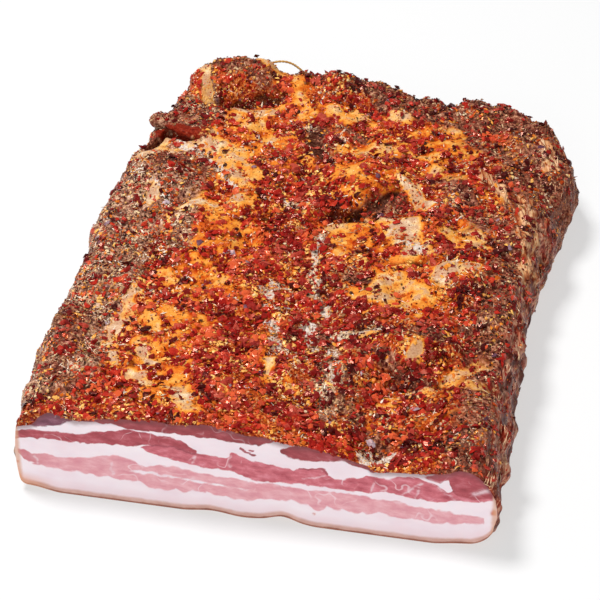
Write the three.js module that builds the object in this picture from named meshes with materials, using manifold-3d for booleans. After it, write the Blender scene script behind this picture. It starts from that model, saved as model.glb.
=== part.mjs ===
// A slab of flat pancetta: cured pork belly with its rind below, rubbed with crushed chilli and pepper,
// cut straight across at the front, and with the loop of twine that it was hung by at the back.
// Millimetres, +Z up. X runs across the slab, Y away from the cut, and the origin is on the resting face.
import * as THREE from "three";
import { mergeVertices } from "three/addons/utils/BufferGeometryUtils.js";
import Module from "manifold-3d";

const { degToRad, lerp, smoothstep } = THREE.MathUtils;
const wasm = await Module();
wasm.setup();

// Driving dimensions of the slab
const CUT_Y = -153.5; // plane of the cut face
const TOP_Z = 47; // height of the top away from the cut
const CUT_FADE = 100; // how far back the cut's own profile reaches
const RIND_FADE = 34; // how far back the waves of the underside reach
const TOP_ROUND = { left: 15, right: 20, rear: 12 }; // rounding of the top's edges
const RIND_ROUND = { left: 4, right: 12, rear: 9 }; // rounding of the underside's edges
const SIDE_BULGE = 1; // how far the side walls swell at half height
const BULGE_POWER = 9; // higher keeps the swell closer to the walls
const SEGMENTS = { across: 30, along: 42, up: 4 };
const EDGE_CROWDING = 0.68; // closer to 1 puts more of the mesh's lines near the edges

// The plan: where the left and right sides run, as [y, x], and the ragged rear end, as [share across, y]
const LEFT_SIDE = [
  [CUT_Y, -111.5], [-130, -113.5], [-80, -118], [-30, -117], [20, -118.5], [52, -119.5], [82, -115.5],
  [108, -112], [130, -107.5], [150, -102], [185, -100],
];
const RIGHT_SIDE = [
  [CUT_Y, 122], [-60, 121], [0, 120], [35, 121.5], [60, 125.5], [95, 129], [115, 132], [135, 131], [185, 124],
];
const REAR_END = [
  [-1, 164], [-0.9, 172], [-0.79, 174.5], [-0.6, 176], [-0.39, 177], [-0.22, 181], [0.04, 180.5],
  [0.22, 172.5], [0.55, 172.5], [0.7, 168], [0.84, 158], [0.93, 146], [1, 128],
];

// The top's profile along the cut, and the underside's, as [x, z]
const TOP_AT_CUT = [
  [-113, 50], [-92, 51.5], [-79, 50], [-60, 53], [-38, 54.5], [-17, 56.5], [0, 54],
  [20, 52], [45, 47.5], [62, 43], [73, 42.5], [90, 45], [106, 49], [122, 50],
];
const RIND_AT_CUT = [
  [-113, 3], [-104, 2.4], [-98, 1.2], [-91, 0], [-30, 0], [-15, 1.8], [0, 0.2], [10, 1.2], [20, 4], [30, 1],
  [38, 0], [92, 0], [105, 2], [122, 4],
];

// Swellings and hollows of the top: centre, reach along x and y, and rise
const MOUNDS = [
  { at: [-66, 168], reach: [27, 20], rise: 17 },
  { at: [-92, 163], reach: [12, 15], rise: 5.5 },
  { at: [-14, 166], reach: [17, 18], rise: 11 },
  { at: [42, 158], reach: [50, 22], rise: 3 },
  { at: [-82, 122], reach: [18, 14], rise: 5 },
  { at: [-86, 62], reach: [20, 24], rise: 4 },
  { at: [26, 82], reach: [34, 18], rise: 4.5 },
  { at: [62, 14], reach: [32, 26], rise: 5 },
  { at: [58, 24], reach: [14, 10], rise: -4 },
  { at: [58, -66], reach: [34, 17], rise: 4.5 },
  { at: [98, -98], reach: [22, 16], rise: -2.5 },
  { at: [-46, -72], reach: [26, 44], rise: 2 },
];

// Creases of the top: where each starts and ends, its half width and depth
const CREASES = [
  { from: [-84, 140], to: [-48, 147], width: 7, depth: 8 },
  { from: [2, 38], to: [46, 58], width: 8, depth: 8 },
  { from: [54, -98], to: [100, -74], width: 8, depth: 5 },
  { from: [-20, 60], to: [28, -100], width: 11, depth: 2.5 },
  { from: [100, 80], to: [98, -20], width: 10, depth: 2.5 },
];

// Low lumps all over, as cured meat has: rise, and the wave's length over a turn along x and y
const LUMPS = [
  { rise: 1.1, along: [11, 13] },
  { rise: 0.8, along: [-8.5, 17] },
];

// The pocket torn open inside the left edge, as rounded hollows, and the tongue of meat that overhangs it
const POCKETS = [
  { at: [-104, 95, 47], size: [3.8, 18, 17], turn: -17 },
  { at: [-88, 102, 46], size: [15, 6, 7], turn: -10 },
];
const TONGUE_OUTLINE = [
  [-110.5, 112.5], [-109, 118], [-103.5, 120], [-94, 129], [-78, 134], [-70, 108], [-76, 99], [-86, 101.5],
  [-97, 104], [-103, 109],
];
const TONGUE = { base: 45.4, thick: 3.2, bevel: 1.3 };

// The spice that is large enough to show: how many pieces, and each kind's share, size and tilt
const SPICE_COUNT = 135;
const CHILLI = {
  share: 0.62, across: [4, 6.5], narrowing: [0.55, 0.9], top: 0.8, thick: 1.1, sides: 5, tilt: 24,
};
const SEED = { share: 0.18, across: [3, 3.8], narrowing: 0.85, thick: 1.2, tilt: 14 };
const PEPPER = { across: [2.2, 3.2] };
const SPICE_EDGE = 0.035; // share of the top kept bare along its edges
const BARE_PATCHES = [
  { at: [60, 24], reach: [24, 16] },
  { at: [58, -16], reach: [20, 12] },
  { at: [-58, -108], reach: [16, 14] },
  { at: [-96, 96], reach: [20, 20] },
];

// The hanging loop: it leaves the rear lobe, arches over the dip beside it and goes back into the meat
const TWINE_DIAMETER = 1.4;
const TWINE_SIDES = 8;
const TWINE_STEPS = 18;
const TWINE_GAP = 0.4; // between the twine and its holes in the meat
const TWINE_CLEARANCE = 5; // no spice this close to the twine
const TWINE_ROUTE = [
  [-58, 170, 53.5], [-54.5, 171.2, 57.2], [-50.5, 172, 59], [-45.4, 172.5, 59.6], [-40.6, 172.5, 58.6],
  [-36, 172, 56], [-32.8, 171.5, 52.9], [-30.4, 171, 49.8], [-28.8, 170.4, 46],
];

// A smooth curve through [position, value] knots that are in order of position
function through(knots, position) {
  const last = knots.length - 1;
  if (position <= knots[0][0]) return knots[0][1];
  if (position >= knots[last][0]) return knots[last][1];
  const i = knots.findIndex((knot) => knot[0] > position) - 1;
  const slope = (j) => {
    const before = knots[Math.max(j - 1, 0)];
    const after = knots[Math.min(j + 1, last)];
    return (after[1] - before[1]) / (after[0] - before[0]);
  };
  const span = knots[i + 1][0] - knots[i][0];
  const t = (position - knots[i][0]) / span;
  const s = 1 - t;
  return (
    knots[i][1] * (1 + 2 * t) * s * s + span * slope(i) * t * s * s +
    knots[i + 1][1] * (3 - 2 * t) * t * t - span * slope(i + 1) * s * t * t
  );
}

// How far inside a mound or patch a point is: 1 at its centre, falling smoothly to 0
function inside(patch, x, y) {
  return Math.exp(-(((x - patch.at[0]) / patch.reach[0]) ** 2) - ((y - patch.at[1]) / patch.reach[1]) ** 2);
}

// How close a point is to a crease: 1 on its line, falling smoothly to 0
function onCrease(crease, x, y) {
  const line = new THREE.Line3(new THREE.Vector3(...crease.from, 0), new THREE.Vector3(...crease.to, 0));
  const nearest = line.closestPointToPoint(new THREE.Vector3(x, y, 0), true, new THREE.Vector3());
  return Math.exp(-((Math.hypot(x - nearest.x, y - nearest.y) / crease.width) ** 2));
}

function topHeight(x, y) {
  const fade = smoothstep(y, CUT_Y, CUT_Y + CUT_FADE);
  let height = lerp(through(TOP_AT_CUT, x), TOP_Z, fade);
  for (const { rise, along } of LUMPS) height += fade * rise * Math.sin(x / along[0] + y / along[1]);
  for (const mound of MOUNDS) height += mound.rise * inside(mound, x, y);
  for (const crease of CREASES) height -= crease.depth * onCrease(crease, x, y);
  return height;
}

function rindHeight(x, y) {
  const wave = Math.max(through(RIND_AT_CUT, x), 0);
  return wave * (1 - smoothstep(y, CUT_Y, CUT_Y + RIND_FADE));
}

// How far a rounded edge has dropped at these distances from the walls, each wall with its own radius
function roundedDrop(radii, toLeft, toRight, toRear) {
  const [sideRadius, toSide] = toLeft < toRight ? [radii.left, toLeft] : [radii.right, toRight];
  const side = Math.max(1 - toSide / sideRadius, 0);
  const rear = Math.max(1 - toRear / radii.rear, 0);
  if (side + rear === 0) return 0;
  const radius = (side * sideRadius + rear * radii.rear) / (side + rear);
  return radius * (1 - Math.sqrt(1 - Math.min(Math.hypot(side, rear), 1) ** 2));
}

// The slab's surface: across -1 to 1 from left to right, along 0 to 1 from the cut, up 0 to 1
function slabPoint(across, along, up) {
  const rear = through(REAR_END, across);
  const y = lerp(CUT_Y, rear, along);
  const left = through(LEFT_SIDE, y);
  const right = through(RIGHT_SIDE, y);
  const x = lerp(left, right, (across + 1) / 2);
  const walls = [x - left, right - x, rear - y];
  const top = topHeight(x, y) - roundedDrop(TOP_ROUND, ...walls);
  const rind = rindHeight(x, y) + roundedDrop(RIND_ROUND, ...walls);
  const swell = SIDE_BULGE * Math.sin(Math.PI * up);
  return new THREE.Vector3(
    x + swell * across ** BULGE_POWER,
    y + swell * along ** BULGE_POWER,
    lerp(rind, top, up),
  );
}

// Crowds a -1 to 1 position towards both ends
function crowded(position) {
  const quarter = EDGE_CROWDING * Math.PI / 2;
  return Math.sin(position * quarter) / Math.sin(quarter);
}

// A closed geometry, its shared corners merged, as a solid that can be joined and cut
function solidOf(geometry) {
  const bare = geometry.clone().deleteAttribute("normal").deleteAttribute("uv");
  const merged = mergeVertices(bare, 1e-4);
  return new wasm.Manifold(
    new wasm.Mesh({
      numProp: 3,
      vertProperties: new Float32Array(merged.attributes.position.array),
      triVerts: new Uint32Array(merged.index.array),
    }),
  );
}

function geometryOf(solid) {
  const mesh = solid.getMesh();
  return new THREE.BufferGeometry()
    .setAttribute("position", new THREE.BufferAttribute(mesh.vertProperties, 3))
    .setIndex(new THREE.BufferAttribute(mesh.triVerts, 1));
}

function slabSolid() {
  const box = new THREE.BoxGeometry(2, 2, 2, SEGMENTS.across, SEGMENTS.along, SEGMENTS.up);
  const corners = box.attributes.position;
  for (let i = 0; i < corners.count; i++) {
    const along = (crowded(corners.getY(i)) + 1) / 2;
    const corner = slabPoint(crowded(corners.getX(i)), along, (corners.getZ(i) + 1) / 2);
    corners.setXYZ(i, corner.x, corner.y, corner.z);
  }
  return solidOf(box);
}

function pocketSolid({ at, size, turn }) {
  return solidOf(new THREE.SphereGeometry(1, 12, 8).scale(...size).rotateZ(degToRad(turn)).translate(...at));
}

function tongueSolid() {
  const outline = new THREE.Shape(TONGUE_OUTLINE.map((p) => new THREE.Vector2(...p)).reverse());
  const { base, thick, bevel } = TONGUE;
  const edge = { bevelSize: bevel, bevelThickness: bevel, bevelOffset: -bevel, bevelSegments: 2 };
  return solidOf(new THREE.ExtrudeGeometry(outline, { depth: thick, ...edge }).translate(0, 0, base + bevel));
}

// An evenly spread 0 to 1 value for piece number i: each stride gives its own sequence
const STRIDE = {
  across: 0.7548776662, along: 0.569840291, size: 0.6180339887, yaw: 0.4142135624, tilt: 0.7320508076,
};
const spread = (i, stride) => (0.5 + i * stride) % 1;

function chilliFlake(size) {
  const radius = lerp(...CHILLI.across, size) / 2;
  const flake = new THREE.CylinderGeometry(radius * CHILLI.top, radius, CHILLI.thick, CHILLI.sides);
  return flake.rotateX(Math.PI / 2).scale(1, lerp(...CHILLI.narrowing, size), 1);
}

function seed(size) {
  const radius = lerp(...SEED.across, size) / 2;
  return new THREE.SphereGeometry(1, 5, 3).scale(radius, radius * SEED.narrowing, SEED.thick / 2);
}

// One flake, seed or pepper grain, lying in the plane z = 0 before it is placed, and how far it may tilt
function spicePiece(i) {
  const kind = spread(i, STRIDE.size + STRIDE.yaw);
  const size = spread(i, STRIDE.size);
  if (kind < CHILLI.share) return [chilliFlake(size), CHILLI.tilt];
  if (kind < CHILLI.share + SEED.share) return [seed(size), SEED.tilt];
  return [new THREE.IcosahedronGeometry(lerp(...PEPPER.across, size) / 2), 0];
}

// The piece's place on the meat's top, with the face that it lies on, or null where the meat is bare
function spicePlace(i, meatMesh) {
  const across = lerp(-1 + SPICE_EDGE, 1 - SPICE_EDGE, spread(i, STRIDE.across));
  const along = lerp(SPICE_EDGE, 1 - SPICE_EDGE, spread(i, STRIDE.along));
  const above = slabPoint(across, along, 1).setZ(2 * TOP_Z);
  if (BARE_PATCHES.some((patch) => inside(patch, above.x, above.y) > 0.5)) return null;
  const down = new THREE.Raycaster(above, new THREE.Vector3(0, 0, -1));
  const [hit] = down.intersectObject(meatMesh);
  return { point: hit.point, normal: hit.face.normal };
}

function spiceSolids(meat, keepClear) {
  const meatMesh = new THREE.Mesh(geometryOf(meat));
  const solids = [];
  for (let i = 0; solids.length < SPICE_COUNT; i++) {
    const place = spicePlace(i, meatMesh);
    if (!place || keepClear.containsPoint(place.point)) continue;
    const [piece, tilt] = spicePiece(i);
    const onFace = new THREE.Quaternion().setFromUnitVectors(new THREE.Vector3(0, 0, 1), place.normal);
    piece.rotateX(degToRad(tilt * (spread(i, STRIDE.tilt) - 0.2)));
    piece.rotateZ(2 * Math.PI * spread(i, STRIDE.yaw));
    solids.push(solidOf(piece.applyQuaternion(onFace).translate(...place.point)));
  }
  return solids;
}

// A tube along the twine's route, this much fatter all round and longer at both ends than the twine
function twineGeometry(extra) {
  const route = TWINE_ROUTE.map((p) => new THREE.Vector3(...p));
  const lengthen = (end, next) => end.addScaledVector(end.clone().sub(next).normalize(), extra);
  lengthen(route[0], route[1]);
  lengthen(route.at(-1), route.at(-2));
  const radius = TWINE_DIAMETER / 2 + extra;
  const section = new THREE.Shape(
    Array.from({ length: TWINE_SIDES }, (_, i) => {
      const angle = 2 * Math.PI * i / TWINE_SIDES;
      return new THREE.Vector2(radius * Math.cos(angle), radius * Math.sin(angle));
    }),
  );
  const extrudePath = new THREE.CatmullRomCurve3(route);
  return new THREE.ExtrudeGeometry(section, { steps: TWINE_STEPS, extrudePath, curveSegments: 1 });
}

function node(name, geometry, look) {
  const mesh = new THREE.Mesh(geometry, new THREE.MeshStandardMaterial(look));
  mesh.name = name;
  return mesh;
}

const torn = POCKETS.reduce((rest, pocket) => rest.subtract(pocketSolid(pocket)), slabSolid());
const meat = torn.add(tongueSolid());
const twine = twineGeometry(0);
twine.computeBoundingBox();
const aroundTwine = twine.boundingBox.clone().expandByScalar(TWINE_CLEARANCE);
const rubbed = spiceSolids(meat, aroundTwine).reduce((all, piece) => all.add(piece), meat);
const slab = rubbed.subtract(solidOf(twineGeometry(TWINE_GAP)));

const pancetta = new THREE.Group();
pancetta.add(
  node("slab", geometryOf(slab), { color: 0x8c3a1c, roughness: 0.55, metalness: 0 }),
  node("twine", twine, { color: 0xc9a05a, roughness: 0.85, metalness: 0 }),
);

export default pancetta;
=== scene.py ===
"""A slab of flat pancetta: the meat with its cut face, rind and spice rub, and the twine it was hung by.

Places and sizes are in millimetres, in the frame's axes, and become metres where a mesh is made.
"""
import math

import bmesh
import bpy
import numpy as np
from mathutils import Matrix, Vector
from mathutils.bvhtree import BVHTree


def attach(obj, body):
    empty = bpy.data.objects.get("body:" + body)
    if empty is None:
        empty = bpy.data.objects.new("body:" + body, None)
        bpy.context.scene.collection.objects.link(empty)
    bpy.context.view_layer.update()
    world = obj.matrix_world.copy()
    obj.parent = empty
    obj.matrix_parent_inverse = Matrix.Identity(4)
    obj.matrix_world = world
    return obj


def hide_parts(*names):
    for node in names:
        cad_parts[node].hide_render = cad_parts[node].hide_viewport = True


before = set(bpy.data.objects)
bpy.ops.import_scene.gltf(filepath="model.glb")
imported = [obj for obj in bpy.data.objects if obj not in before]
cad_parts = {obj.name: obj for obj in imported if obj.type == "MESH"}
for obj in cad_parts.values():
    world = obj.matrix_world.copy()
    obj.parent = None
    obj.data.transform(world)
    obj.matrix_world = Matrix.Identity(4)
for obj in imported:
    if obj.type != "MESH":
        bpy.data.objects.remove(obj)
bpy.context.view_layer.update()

MM = 0.001

# The camera, as fitted to the photograph
CAMERA_AZIMUTH = 11.2
CAMERA_ELEVATION = 37.0
CAMERA_DISTANCE = 1164.0
CAMERA_TARGET = (0.0, -9.0, 25.0)
CAMERA_LENS = 132.0
CAMERA_SENSOR = 36.0
CAMERA_REACH = 20000.0

# The slab's form, as in the part's source
CUT_Y = -153.5
TOP_Z = 47.0
CUT_FADE = 100.0
RIND_FADE = 34.0
TOP_ROUND = {"left": 15.0, "right": 20.0, "rear": 12.0}
RIND_ROUND = {"left": 4.0, "right": 12.0, "rear": 9.0}
SIDE_BULGE = 1.0
BULGE_POWER = 9
LEFT_SIDE = [
    (CUT_Y, -111.5), (-130, -113.5), (-80, -118), (-30, -117), (20, -118.5), (52, -119.5), (82, -115.5),
    (108, -112), (130, -107.5), (150, -102), (185, -100),
]
RIGHT_SIDE = [
    (CUT_Y, 122), (-60, 121), (0, 120), (35, 121.5), (60, 125.5), (95, 129), (115, 132), (135, 131),
    (185, 124),
]
REAR_END = [
    (-1, 164), (-0.9, 172), (-0.79, 174.5), (-0.6, 176), (-0.39, 177), (-0.22, 181), (0.04, 180.5),
    (0.22, 172.5), (0.55, 172.5), (0.7, 168), (0.84, 158), (0.93, 146), (1, 128),
]
TOP_AT_CUT = [
    (-113, 50), (-92, 51.5), (-79, 50), (-60, 53), (-38, 54.5), (-17, 56.5), (0, 54), (20, 52), (45, 47.5),
    (62, 43), (73, 42.5), (90, 45), (106, 49), (122, 50),
]
RIND_AT_CUT = [
    (-113, 3), (-104, 2.4), (-98, 1.2), (-91, 0), (-30, 0), (-15, 1.8), (0, 0.2), (10, 1.2), (20, 4),
    (30, 1), (38, 0), (92, 0), (105, 2), (122, 4),
]
# Swellings and hollows of the top: x and y of the centre, reach along x and y, and rise
MOUNDS = [
    (-66, 168, 27, 20, 17), (-92, 163, 12, 15, 5.5), (-14, 166, 17, 18, 11), (42, 158, 50, 22, 3),
    (-82, 122, 18, 14, 5), (-86, 62, 20, 24, 4), (26, 82, 34, 18, 4.5), (62, 14, 32, 26, 5),
    (58, 24, 14, 10, -4), (58, -66, 34, 17, 4.5), (98, -98, 22, 16, -2.5), (-46, -72, 26, 44, 2),
]
# Creases of the top: x and y of the start and of the end, half width and depth
CREASES = [
    (-84, 140, -48, 147, 7, 8), (2, 38, 46, 58, 8, 8), (54, -98, 100, -74, 8, 5),
    (-20, 60, 28, -100, 11, 2.5), (100, 80, 98, -20, 10, 2.5),
]
# Low waves of the top: rise, and how long each is along x and y
LUMPS = [(1.1, 11, 13), (0.8, -8.5, 17)]
# The torn pocket, as rounded hollows (centre, half sizes, turn), and the tongue that overhangs it
POCKETS = [((-104, 95, 47), (3.8, 18, 17), -17), ((-88, 102, 46), (15, 6, 7), -10)]
TONGUE_OUTLINE = [
    (-110.5, 112.5), (-109, 118), (-103.5, 120), (-94, 129), (-78, 134), (-70, 108), (-76, 99),
    (-86, 101.5), (-97, 104), (-103, 109),
]
TONGUE_LOW, TONGUE_HIGH = 45.4, 51.2
TWINE_DIAMETER = 1.4
TWINE_ROUTE = [
    (-58, 170, 53.5), (-54.5, 171.2, 57.2), (-50.5, 172, 59), (-45.4, 172.5, 59.6), (-40.6, 172.5, 58.6),
    (-36, 172, 56), (-32.8, 171.5, 52.9), (-30.4, 171, 49.8), (-28.8, 170.4, 46),
]

# The mesh of the slab: cells across, along and up, and rings under it as shares of its border
CELLS_ACROSS, CELLS_ALONG, CELLS_UP = 200, 190, 34
EDGE_CROWDING = 0.8
RIND_RINGS = [1.0, 0.99, 0.975, 0.955, 0.93, 0.89, 0.6, 0.25]
# The mesh of the tongue: points for each stretch of its outline, rings inside it, and how square its edge is
TONGUE_STEPS = 9
TONGUE_RINGS = np.array([0.06, 0.2, 0.35, 0.5, 0.65, 0.78, 0.88, 0.95, 0.985])
TONGUE_EDGE = 5
# Points up to here along y lie in the cut's plane
AT_CUT = CUT_Y + 0.01
# The table behind the noise, and the primes that pick from it
NOISE_VALUES, NOISE_REACH = 8192, 1.6
NOISE_PRIMES = (73856093, 19349663, 83492791)


def through(knots, at):
    """A smooth curve through (position, value) knots, level beyond both ends."""
    place, value = np.array(knots, float).T
    slope = np.gradient(value)
    slope[1:-1] = (value[2:] - value[:-2]) / (place[2:] - place[:-2])
    slope[[0, -1]] = np.diff(value)[[0, -1]] / np.diff(place)[[0, -1]]
    at = np.clip(at, place[0], place[-1])
    i = np.clip(np.searchsorted(place, at, "right") - 1, 0, len(place) - 2)
    span = place[i + 1] - place[i]
    t = (at - place[i]) / span
    s = 1 - t
    rising = value[i] * (1 + 2 * t) * s * s + span * slope[i] * t * s * s
    return rising + value[i + 1] * (3 - 2 * t) * t * t - span * slope[i + 1] * s * t * t


def smoothstep(low, high, value):
    """0 at low, 1 at high and smooth between, whichever of the two is larger."""
    t = np.clip((value - low) / (high - low), 0, 1)
    return t * t * (3 - 2 * t)


def edge(at, softness, value):
    """Rises from 0 to 1 about a place, or falls where the softness is below 0."""
    return smoothstep(at - softness, at + softness, value)


def between(ends, share):
    return ends[0] + (ends[1] - ends[0]) * share


def unit(vectors):
    return vectors / np.linalg.norm(vectors, axis=1)[:, None]


def run_along(points):
    """How far each point of a line is from its start."""
    return np.r_[0, np.cumsum(np.linalg.norm(np.diff(points, axis=0), axis=1))]


def to_line(line, x, y):
    """How far points are from a line, given by x and y of its start and of its end."""
    start, end = np.array(line, float).reshape(2, 2)
    run = end - start
    t = np.clip(((x - start[0]) * run[0] + (y - start[1]) * run[1]) / max(run @ run, 1e-9), 0, 1)
    return np.hypot(x - start[0] - t * run[0], y - start[1] - t * run[1])


def ridge(line, width, x, y):
    """1 on a line, falling smoothly to 0 over about twice this width."""
    return np.exp(-((to_line(line, x, y) / width) ** 2))


def mound(place, x, y):
    """1 at a centre, falling smoothly to 0 over about twice its reach along x and y."""
    at_x, at_y, reach_x, reach_y = place
    return np.exp(-(((x - at_x) / reach_x) ** 2) - ((y - at_y) / reach_y) ** 2)


def noise(points, size, seed):
    """Smooth noise of about -1 to 1, in lumps of this size."""
    table = np.random.default_rng(seed).uniform(-NOISE_REACH, NOISE_REACH, NOISE_VALUES)
    cell = np.floor(points / size).astype(np.int64)
    f = points / size - cell
    f = f * f * (3 - 2 * f)
    total = np.zeros(len(points))
    for corner in np.ndindex(2, 2, 2):
        a, b, c = ((cell + corner) * NOISE_PRIMES).T
        total += table[(a ^ b ^ c) % NOISE_VALUES] * np.where(corner, f, 1 - f).prod(axis=1)
    return total


def shaken(values, points, waves, seed):
    """Values moved by noise: each wave is the size of its lumps and its reach."""
    for i, (size, reach) in enumerate(waves):
        values = values + reach * noise(points, size, seed + i)
    return values


def top_height(x, y):
    fade = smoothstep(CUT_Y, CUT_Y + CUT_FADE, y)
    at_cut = through(TOP_AT_CUT, x)
    height = at_cut + (TOP_Z - at_cut) * fade
    for rise, over_x, over_y in LUMPS:
        height += fade * rise * np.sin(x / over_x + y / over_y)
    for *place, rise in MOUNDS:
        height += rise * mound(place, x, y)
    for *line, width, depth in CREASES:
        height -= depth * ridge(line, width, x, y)
    return height


def rind_height(x, y):
    return np.maximum(through(RIND_AT_CUT, x), 0) * (1 - smoothstep(CUT_Y, CUT_Y + RIND_FADE, y))


def rounded_drop(radii, to_left, to_right, to_rear):
    """How far a rounded edge has dropped at these distances from the walls."""
    leftward = to_left < to_right
    radius = np.where(leftward, radii["left"], radii["right"])
    side = np.maximum(1 - np.where(leftward, to_left, to_right) / radius, 0)
    rear = np.maximum(1 - to_rear / radii["rear"], 0)
    shared = (side * radius + rear * radii["rear"]) / np.maximum(side + rear, 1e-9)
    return shared * (1 - np.sqrt(1 - np.minimum(np.hypot(side, rear), 1) ** 2))


def slab_points(across, along, up):
    """The slab's surface: across -1 to 1 from left to right, along 0 to 1 from the cut, up 0 to 1."""
    rear = through(REAR_END, across)
    y = CUT_Y + (rear - CUT_Y) * along
    left, right = through(LEFT_SIDE, y), through(RIGHT_SIDE, y)
    x = left + (right - left) * (across + 1) / 2
    walls = x - left, right - x, rear - y
    top = top_height(x, y) - rounded_drop(TOP_ROUND, *walls)
    rind = rind_height(x, y) + rounded_drop(RIND_ROUND, *walls)
    swell = SIDE_BULGE * np.sin(np.pi * up)
    moved = x + swell * across**BULGE_POWER, y + swell * along**BULGE_POWER
    return np.stack([*moved, rind + (top - rind) * up], axis=-1)


def crowded(cells):
    """Positions from -1 to 1, closer together towards both ends."""
    quarter = EDGE_CROWDING * math.pi / 2
    return np.sin(np.linspace(-1, 1, cells + 1) * quarter) / math.sin(quarter)


def placed(name, data):
    """A new object of the scene."""
    made = bpy.data.objects.new(name, data)
    bpy.context.scene.collection.objects.link(made)
    return made


def mesh_object(name, points, faces, smooth):
    """An object from points in millimetres and faces that all have as many corners."""
    mesh = bpy.data.meshes.new(name)
    faces = np.ascontiguousarray(faces, np.int32)
    mesh.vertices.add(len(points))
    mesh.vertices.foreach_set("co", (np.asarray(points) * MM).astype(np.float32).ravel())
    mesh.loops.add(faces.size)
    mesh.loops.foreach_set("vertex_index", faces.ravel())
    mesh.polygons.add(len(faces))
    mesh.polygons.foreach_set("loop_start", np.arange(0, faces.size, faces.shape[1], dtype=np.int32))
    mesh.polygons.foreach_set("use_smooth", np.full(len(faces), smooth))
    mesh.update(calc_edges=True)
    return placed(name, mesh)


def grid_faces(rows, columns, start=0):
    """Two triangles for each cell of a grid of points that is stored row by row."""
    corner = start + np.arange(rows * columns).reshape(rows, columns)
    a, b, c, d = corner[:-1, :-1], corner[:-1, 1:], corner[1:, 1:], corner[1:, :-1]
    return np.concatenate([np.stack(t, -1).reshape(-1, 3) for t in ((a, c, b), (a, d, c))])


def slab_mesh():
    """Points and triangles of the whole slab, closed, before the pocket and the tongue."""
    across, along = crowded(CELLS_ACROSS), (crowded(CELLS_ALONG) + 1) / 2
    up = np.linspace(0, 1, CELLS_UP + 1)
    params, faces, count = [], [], 0
    # The top, the cut, the rear and both sides: which of (across, along, up) stays the same, and at what
    for first, second, fixed, value, flip in (
        (across, along, 2, 1, False),
        (across, up, 1, 0, False),
        (across, up, 1, 1, True),
        (along, up, 0, -1, True),
        (along, up, 0, 1, False),
    ):
        a, b = np.meshgrid(first, second, indexing="ij")
        params.append(np.insert(np.stack([a.ravel(), b.ravel()], 1), fixed, value, axis=1))
        made = grid_faces(len(first), len(second), count)
        faces.append(made[:, ::-1] if flip else made)
        count += a.size
    # The rind, as rings from its border to a point in its middle
    front = np.stack([across, 0 * across], 1)
    right = np.stack([0 * along + 1, along], 1)
    rear, left = front * [1, 0] + [0, 1], right * [-1, 1]
    border = np.concatenate([front[:-1], right[:-1], rear[:0:-1], left[:0:-1], front[:1]])
    middle = np.array([0, 0.5])
    rings = [np.insert(middle + (border - middle) * share, 2, 0, axis=1) for share in RIND_RINGS]
    params.append(np.concatenate(rings))
    faces.append(grid_faces(len(rings), len(border), count))
    last = count + (len(rings) - 1) * len(border)
    count += len(rings) * len(border)
    params.append(np.array([[*middle, 0]]))
    steps = np.arange(last, last + len(border) - 1)
    faces.append(np.stack([steps, np.full(len(steps), count), steps + 1], 1))
    whole = np.round(np.concatenate(params), 7)
    whole, shared = np.unique(whole, axis=0, return_inverse=True)
    return slab_points(*whole.T), shared.ravel()[np.concatenate(faces)]


def ellipsoid(name, at, size, turn, columns=64, rows=40):
    ball = bmesh.new()
    bmesh.ops.create_uvsphere(ball, u_segments=columns, v_segments=rows, radius=1.0)
    mesh = bpy.data.meshes.new(name)
    ball.to_mesh(mesh)
    ball.free()
    made = placed(name, mesh)
    made.location = Vector(at) * MM
    made.rotation_euler = (0, 0, math.radians(turn))
    made.scale = Vector(size) * MM
    return made


def capped(rings, first, last):
    """Points and triangles of a closed skin over rings of points, with one more point at each end."""
    count, around = rings.shape[:2]
    faces = grid_faces(count, around + 1)
    faces = (faces // (around + 1)) * around + faces % (around + 1) % around
    ring = np.arange(around)
    after = (ring + 1) % around
    start = np.stack([ring, after, np.full(around, count * around)], 1)
    end = np.stack([after, ring, np.full(around, count * around + 1)], 1)
    end[:, :2] += around * (count - 1)
    return np.concatenate([rings.reshape(-1, 3), [first, last]]), np.concatenate([faces, start, end])


def closed_curve(knots, steps):
    """A smooth closed line through knots, with this many points for each stretch."""
    p = np.array(knots, float)
    t = np.linspace(0, 1, steps, endpoint=False)[None, :, None]
    a, b, c, d = (np.roll(p, n, axis=0)[:, None] for n in (1, 0, -1, -2))
    line = 2 * b + (c - a) * t + (2 * a - 5 * b + 4 * c - d) * t**2 + (3 * b - a - 3 * c + d) * t**3
    return line.reshape(-1, p.shape[1]) / 2


def tongue():
    """The torn tongue: a flat pillow inside a ragged outline."""
    outline = closed_curve(TONGUE_OUTLINE[::-1], TONGUE_STEPS)
    middle = outline.mean(axis=0)
    half = (TONGUE_HIGH - TONGUE_LOW) / 2
    rings = []
    for side, shares in ((1, TONGUE_RINGS), (0, [1.0]), (-1, TONGUE_RINGS[::-1])):
        for share in shares:
            z = TONGUE_LOW + half * (1 + side * math.sqrt(1 - share**TONGUE_EDGE))
            rings.append(np.c_[middle + (outline - middle) * share, np.full(len(outline), z)])
    points, faces = capped(np.stack(rings), [*middle, TONGUE_HIGH], [*middle, TONGUE_LOW])
    return mesh_object("tongue", points, faces, True)


def joined_and_cut(body, tools):
    """Applies (tool, operation) pairs to a body, removes the tools and makes the cut face's mesh finer."""
    for tool, operation in tools:
        change = body.modifiers.new(tool.name, "BOOLEAN")
        change.operation = operation
        change.solver = "MANIFOLD"
        change.object = tool
    depsgraph = bpy.context.evaluated_depsgraph_get()
    applied = bpy.data.meshes.new_from_object(body.evaluated_get(depsgraph))
    body.modifiers.clear()
    body.data = applied
    finer = bmesh.new()
    finer.from_mesh(applied)
    cut = [side for side in finer.edges if max(v.co.y for v in side.verts) < AT_CUT * MM]
    bmesh.ops.subdivide_edges(finer, edges=cut, cuts=1, use_grid_fill=True)
    bmesh.ops.triangulate(finer, faces=list(finer.faces))
    finer.to_mesh(applied)
    finer.free()
    for tool, _ in tools:
        bpy.data.objects.remove(tool)


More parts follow.
